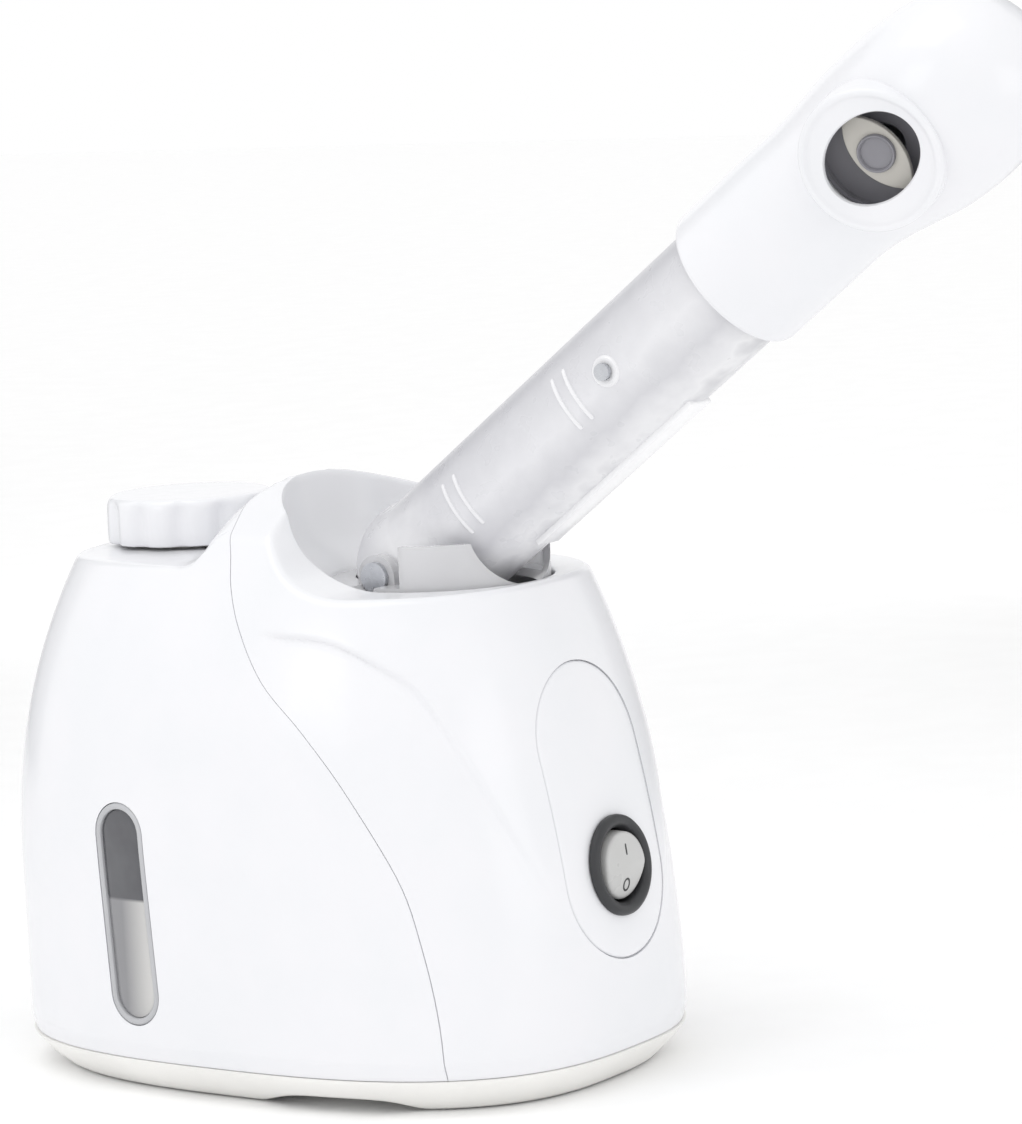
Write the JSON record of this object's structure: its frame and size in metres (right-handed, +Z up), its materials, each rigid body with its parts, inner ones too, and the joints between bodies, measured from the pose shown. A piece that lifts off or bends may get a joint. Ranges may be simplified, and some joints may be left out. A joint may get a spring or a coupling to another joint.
{
  "type": "facial steamer",
  "caption": "Tabletop facial steamer with a white two-part housing, level window, rocker switch, filler cap and a clear telescopic arm that tilts and swivels and carries a turning steam head.",
  "frame": {"origin": "on the table, under the middle of the housing's footprint, at the underside of the anti-slip ring", "axes": "-Y is the front with the switch, +Y the rear with the filler cap and power inlet, -X the side with the level window, +Z up"},
  "size_m": [0.1458, 0.3582, 0.3187],
  "materials": {
    "white_abs": "gloss moulded",
    "base_abs": "fine texture",
    "rubber": "matt",
    "steel": "plated",
    "black_nylon": "satin",
    "brass_terminal": "tinned brass",
    "rocker_grey": "gloss",
    "window_trim": "gloss",
    "window_clear": "clear",
    "tank_white": "translucent moulding",
    "tank_smoke": "smoke tinted",
    "silicone": "silicone",
    "grey_seal": "silicone",
    "cast_aluminium": "as cast",
    "element_sheath": "oxidised steel",
    "ceramic": "ceramic",
    "natural_pp": "natural polypropylene",
    "clear_pc": "lightly frosted clear plastic",
    "bridge_grey": "satin",
    "lead_brown": "cable insulation",
    "lead_blue": "cable insulation"
  },
  "bodies": {
    "housing": {"base_tray": "base_abs", "foot_ring": "rubber", "base_screws": "steel", "rear_shell": "white_abs", "front_shell": "white_abs", "control_panel": "white_abs", "switch_housing": "black_nylon", "switch_terminals": "brass_terminal", "window_frame": "window_trim", "window_lens": "window_clear", "tank_body": "tank_white", "tank_gasket": "grey_seal", "tank_cover": "tank_smoke", "filler_neck": "natural_pp", "feed_pipe": "natural_pp", "boiler_cup": "cast_aluminium", "boiler_seal": "silicone", "boiler_lid": "natural_pp", "heater_plate": "cast_aluminium", "heating_element": "element_sheath", "thermostat": "black_nylon", "thermal_fuse": "ceramic", "steam_pipe": "natural_pp", "steam_seal": "silicone", "turret_bearing": "natural_pp", "bearing_screws": "steel", "power_inlet": "black_nylon", "inlet_pins": "brass_terminal", "live_lead": "lead_brown", "neutral_lead": "lead_blue", "heater_lead": "lead_brown"},
    "rocker": {"switch_rocker": "rocker_grey"},
    "cap_seal": {"cap_gasket": "grey_seal", "cap_plug": "natural_pp"},
    "cap": {"filler_cap": "white_abs"},
    "turret": {"turret_base": "clear_pc", "turret_retainer": "natural_pp", "pivot_screws": "steel"},
    "arm": {"arm_tube": "clear_pc", "arm_seal": "grey_seal", "stop_screw": "steel"},
    "neck": {"neck_tube": "clear_pc", "neck_clip": "natural_pp"},
    "head": {"head_shell": "white_abs", "head_bearing": "natural_pp", "outlet_ring": "white_abs", "outlet_bridge": "bridge_grey", "nozzle_tip": "rocker_grey"}
  },
  "joints": [
    {"name": "switch_rock", "type": "hinge", "parent": "housing", "child": "rocker", "pos_m": [0, -0.0995, 0.06507], "axis": [1, 0, 0], "range_deg": [-20, 0]},
    {"name": "cap_lift", "type": "slide", "parent": "housing", "child": "cap_seal", "axis": [0, 0, 1], "range_m": [0, 0.045]},
    {"name": "cap_turn", "type": "hinge", "parent": "cap_seal", "child": "cap", "pos_m": [0, 0.053, 0.165], "axis": [0, 0, 1], "range_deg": [0, 90]},
    {"name": "turret_swivel", "type": "hinge", "parent": "housing", "child": "turret", "pos_m": [0, -0.041, 0.128], "axis": [0, 0, 1], "range_deg": [-70, 70]},
    {"name": "arm_tilt", "type": "hinge", "parent": "turret", "child": "arm", "pos_m": [0, -0.036, 0.152], "axis": [-1, 0, 0], "range_deg": [-10, 50]},
    {"name": "arm_extend", "type": "slide", "parent": "arm", "child": "neck", "axis": [0, -0.7986, 0.6018], "range_m": [-0.015, 0.012]},
    {"name": "head_turn", "type": "hinge", "parent": "neck", "child": "head", "pos_m": [0, -0.036, 0.152], "axis": [0, -0.7986, 0.6018], "range_deg": [-25, 160]}
  ]
}
